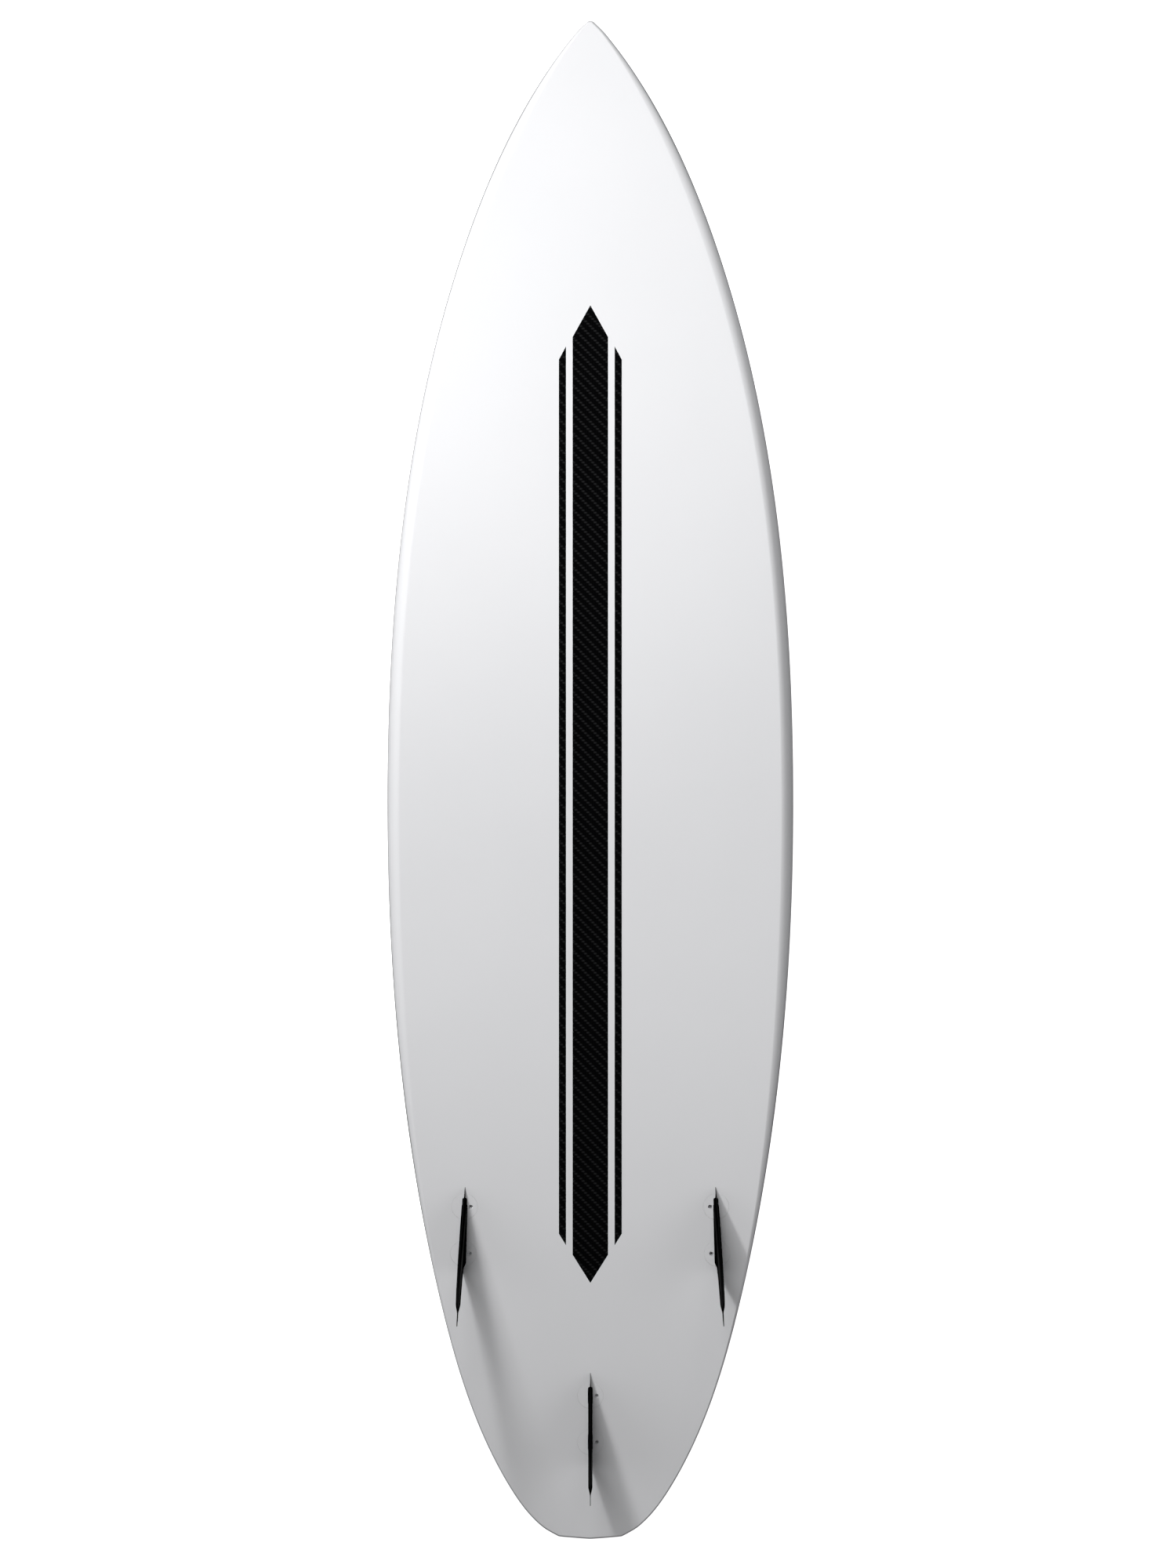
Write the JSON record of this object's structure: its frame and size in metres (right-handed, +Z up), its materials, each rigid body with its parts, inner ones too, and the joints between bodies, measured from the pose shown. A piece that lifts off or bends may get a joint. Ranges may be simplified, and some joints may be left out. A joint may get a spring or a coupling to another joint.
{
  "type": "surfboard",
  "caption": "Short white surfboard with a squash tail, black carbon strips along its underside, removable black fins held in round plugs, and a leash cup in its deck.",
  "frame": {"origin": "centre of the bounding box on the ground plane, under the middle of the board", "axes": "+Y towards the nose, +X to the right seen from above the fins, +Z up: the board lies deck down with its fins up"},
  "size_m": [0.454, 1.7018, 0.1649],
  "materials": {
    "white_epoxy": "polished glass and epoxy skin, high gloss",
    "carbon": "twill carbon fibre under clear gloss resin",
    "fin_composite": "black moulded composite, satin",
    "plug_plastic": "moulded white nylon, fine matte",
    "stainless": "turned stainless steel",
    "foam": "shaped closed-cell foam"
  },
  "bodies": {
    "board": {"foam_core": "foam", "bottom_laminate": "white_epoxy", "deck_laminate": "white_epoxy", "strip_centre": "carbon", "strip_left": "carbon", "strip_right": "carbon", "fin_plug_left_front": "plug_plastic", "fin_plug_left_rear": "plug_plastic", "fin_plug_right_front": "plug_plastic", "fin_plug_right_rear": "plug_plastic", "fin_plug_centre_front": "plug_plastic", "fin_plug_centre_rear": "plug_plastic", "leash_cup": "plug_plastic", "leash_pin": "stainless"},
    "fin_left": {"fin_left": "fin_composite"},
    "grub_screw_left_front": {"grub_screw_left_front": "stainless"},
    "grub_screw_left_rear": {"grub_screw_left_rear": "stainless"},
    "fin_right": {"fin_right": "fin_composite"},
    "grub_screw_right_front": {"grub_screw_right_front": "stainless"},
    "grub_screw_right_rear": {"grub_screw_right_rear": "stainless"},
    "fin_centre": {"fin_centre": "fin_composite"},
    "grub_screw_centre_front": {"grub_screw_centre_front": "stainless"},
    "grub_screw_centre_rear": {"grub_screw_centre_rear": "stainless"}
  },
  "joints": [
    {"name": "fin_left_lift", "type": "slide", "parent": "board", "child": "fin_left", "axis": [-0.0488, -0.1222, 0.9913], "range_m": [0, 0.03]},
    {"name": "grub_screw_left_front_turn", "type": "hinge", "parent": "board", "child": "grub_screw_left_front", "pos_m": [-0.13612, -0.47698, 0.06163], "axis": [0.2956, -0.1251, 0.9471], "range_deg": [0, 720]},
    {"name": "grub_screw_left_rear_turn", "type": "hinge", "parent": "board", "child": "grub_screw_left_rear", "pos_m": [-0.13741, -0.52956, 0.05509], "axis": [0.2956, -0.1251, 0.9471], "range_deg": [0, 720]},
    {"name": "fin_right_lift", "type": "slide", "parent": "board", "child": "fin_right", "axis": [0.0488, -0.1222, 0.9913], "range_m": [0, 0.03]},
    {"name": "grub_screw_right_front_turn", "type": "hinge", "parent": "board", "child": "grub_screw_right_front", "pos_m": [0.13612, -0.47698, 0.06163], "axis": [-0.2956, -0.1251, 0.9471], "range_deg": [0, 720]},
    {"name": "grub_screw_right_rear_turn", "type": "hinge", "parent": "board", "child": "grub_screw_right_rear", "pos_m": [0.13741, -0.52956, 0.05509], "axis": [-0.2956, -0.1251, 0.9471], "range_deg": [0, 720]},
    {"name": "fin_centre_lift", "type": "slide", "parent": "board", "child": "fin_centre", "axis": [0, -0.1711, 0.9852], "range_m": [0, 0.03]},
    {"name": "grub_screw_centre_front_turn", "type": "hinge", "parent": "board", "child": "grub_screw_centre_front", "pos_m": [0.0043, -0.68869, 0.03156], "axis": [0.342, -0.1608, 0.9258], "range_deg": [0, 720]},
    {"name": "grub_screw_centre_rear_turn", "type": "hinge", "parent": "board", "child": "grub_screw_centre_rear", "pos_m": [0.0043, -0.74091, 0.02249], "axis": [0.342, -0.1608, 0.9258], "range_deg": [0, 720]}
  ]
}
